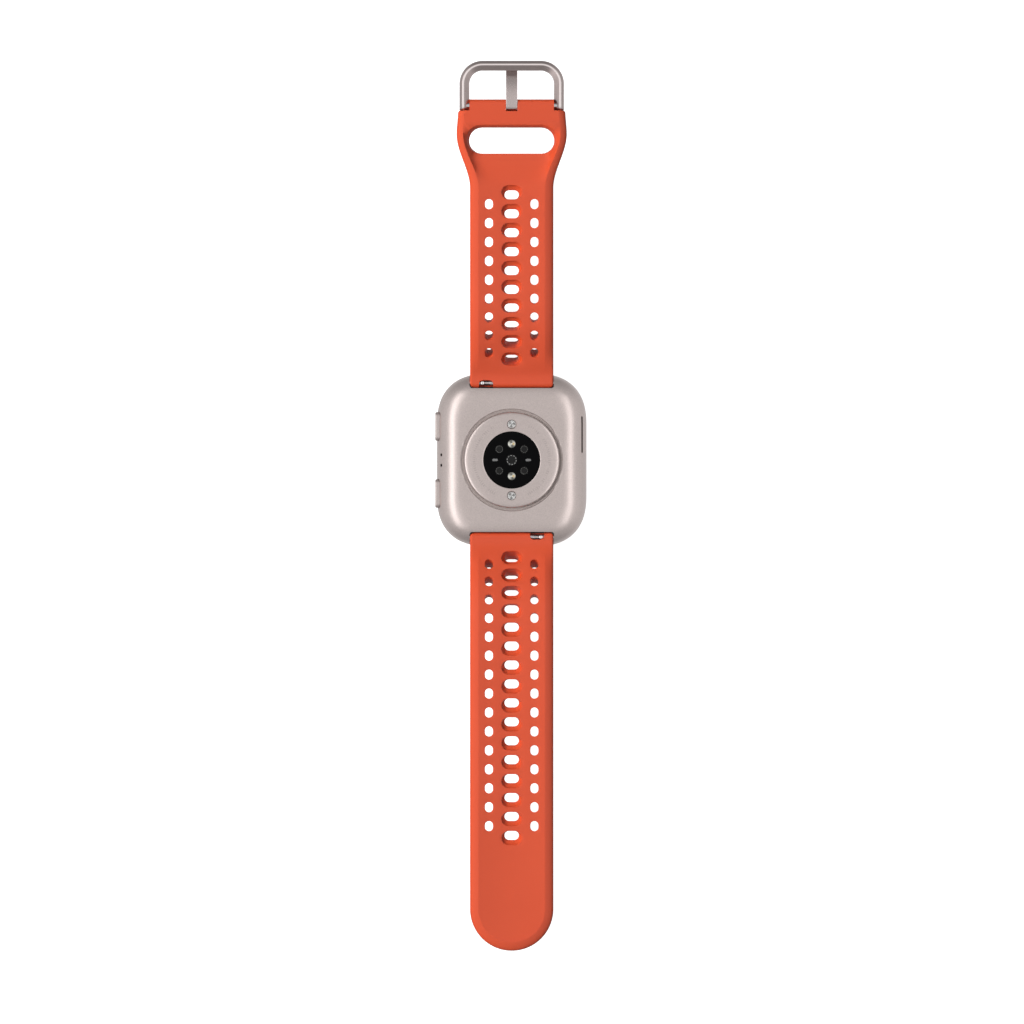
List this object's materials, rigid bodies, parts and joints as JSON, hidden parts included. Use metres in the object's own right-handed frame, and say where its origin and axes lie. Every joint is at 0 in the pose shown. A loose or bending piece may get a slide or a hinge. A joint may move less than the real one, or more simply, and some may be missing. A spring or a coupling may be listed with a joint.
{
  "type": "gps running watch",
  "caption": "Rounded-rectangle running watch with an optical sensor island, side buttons and a perforated quick-release strap that closes with a pin buckle.",
  "frame": {"origin": "centre of the display glass's outer face, on which the watch lies", "axes": "+Z from the display to the wrist side, +Y along the strap towards the buckle (12 o'clock), buttons on the -X side"},
  "size_m": [0.04, 0.235, 0.0143],
  "materials": {
    "alloy": "satin champagne anodised",
    "silicone": "matte orange red silicone",
    "buckle_steel": "satin champagne",
    "bar_steel": "bright",
    "black_glass": "polished black",
    "lens": "clear over a light chip",
    "contact": "polished",
    "seal": "matte black",
    "board": "solder mask",
    "cell": "dull foil",
    "black_plastic": "moulded"
  },
  "bodies": {
    "case": {"case_body": "alloy", "display_glass": "black_glass", "display_gasket": "seal", "display_panel": "black_plastic", "sensor_island": "alloy", "island_gasket": "seal", "sensor_window": "black_glass", "led_lens_upper": "lens", "led_lens_lower": "lens", "centre_lens": "lens", "photodiode_lens_1": "lens", "photodiode_lens_2": "lens", "photodiode_lens_3": "lens", "photodiode_lens_4": "lens", "infrared_bar_left": "lens", "infrared_bar_right": "lens", "charge_contact_upper": "contact", "charge_contact_lower": "contact", "sensor_board": "board", "led_chip_upper": "lens", "led_chip_lower": "lens", "inner_plate": "cell", "main_board": "board", "battery": "cell", "board_shield": "bar_steel", "gps_antenna": "contact", "vibration_motor": "bar_steel", "speaker_unit": "black_plastic", "speaker_mesh": "bar_steel", "microphone": "black_plastic", "plate_screw_1": "bar_steel", "plate_screw_2": "bar_steel", "plate_screw_3": "bar_steel", "plate_screw_4": "bar_steel", "button_seal_upper": "seal", "button_seal_lower": "seal", "button_switch_upper": "black_plastic", "button_switch_lower": "black_plastic"},
    "upper_button": {"button_upper": "alloy", "button_clip_upper": "bar_steel"},
    "lower_button": {"button_lower": "alloy", "button_clip_lower": "bar_steel"},
    "buckle_strap": {"strap_buckle": "silicone", "bar_tube_upper": "bar_steel", "bar_tip_upper": "bar_steel", "bar_spring_upper": "bar_steel"},
    "long_strap": {"strap_long": "silicone", "bar_tube_lower": "bar_steel", "bar_tip_lower": "bar_steel", "bar_spring_lower": "bar_steel"},
    "upper_release": {"quick_release_upper": "bar_steel"},
    "lower_release": {"quick_release_lower": "bar_steel"},
    "buckle": {"buckle_frame": "buckle_steel", "buckle_pin": "bar_steel"},
    "tongue": {"buckle_tongue": "buckle_steel"}
  },
  "joints": [
    {"name": "upper_button_press", "type": "slide", "parent": "case", "child": "upper_button", "axis": [1, 0, 0], "range_m": [0, 0.0003], "stiffness_N_per_m": 4000},
    {"name": "lower_button_press", "type": "slide", "parent": "case", "child": "lower_button", "axis": [1, 0, 0], "range_m": [0, 0.0003], "stiffness_N_per_m": 4000},
    {"name": "buckle_strap_swing", "type": "hinge", "parent": "case", "child": "buckle_strap", "pos_m": [0, 0.02035, 0.0061], "axis": [1, 0, 0], "range_deg": [0, 75]},
    {"name": "long_strap_swing", "type": "hinge", "parent": "case", "child": "long_strap", "pos_m": [0, -0.02035, 0.0061], "axis": [-1, 0, 0], "range_deg": [0, 75]},
    {"name": "upper_release_slide", "type": "slide", "parent": "buckle_strap", "child": "upper_release", "axis": [1, 0, 0], "range_m": [0, 0.0012], "stiffness_N_per_m": 600, "springref_m": -0.0015, "deforming": ["bar_spring_upper"]},
    {"name": "lower_release_slide", "type": "slide", "parent": "long_strap", "child": "lower_release", "axis": [-1, 0, 0], "range_m": [0, 0.0012], "stiffness_N_per_m": 600, "springref_m": -0.0015, "deforming": ["bar_spring_lower"]},
    {"name": "buckle_swing", "type": "hinge", "parent": "buckle_strap", "child": "buckle", "pos_m": [0, 0.09355, 0.01287], "axis": [1, 0, 0], "range_deg": [-80, 80]},
    {"name": "tongue_swing", "type": "hinge", "parent": "buckle", "child": "tongue", "pos_m": [0, 0.09355, 0.01287], "axis": [-1, 0, 0], "range_deg": [0, 95]}
  ]
}
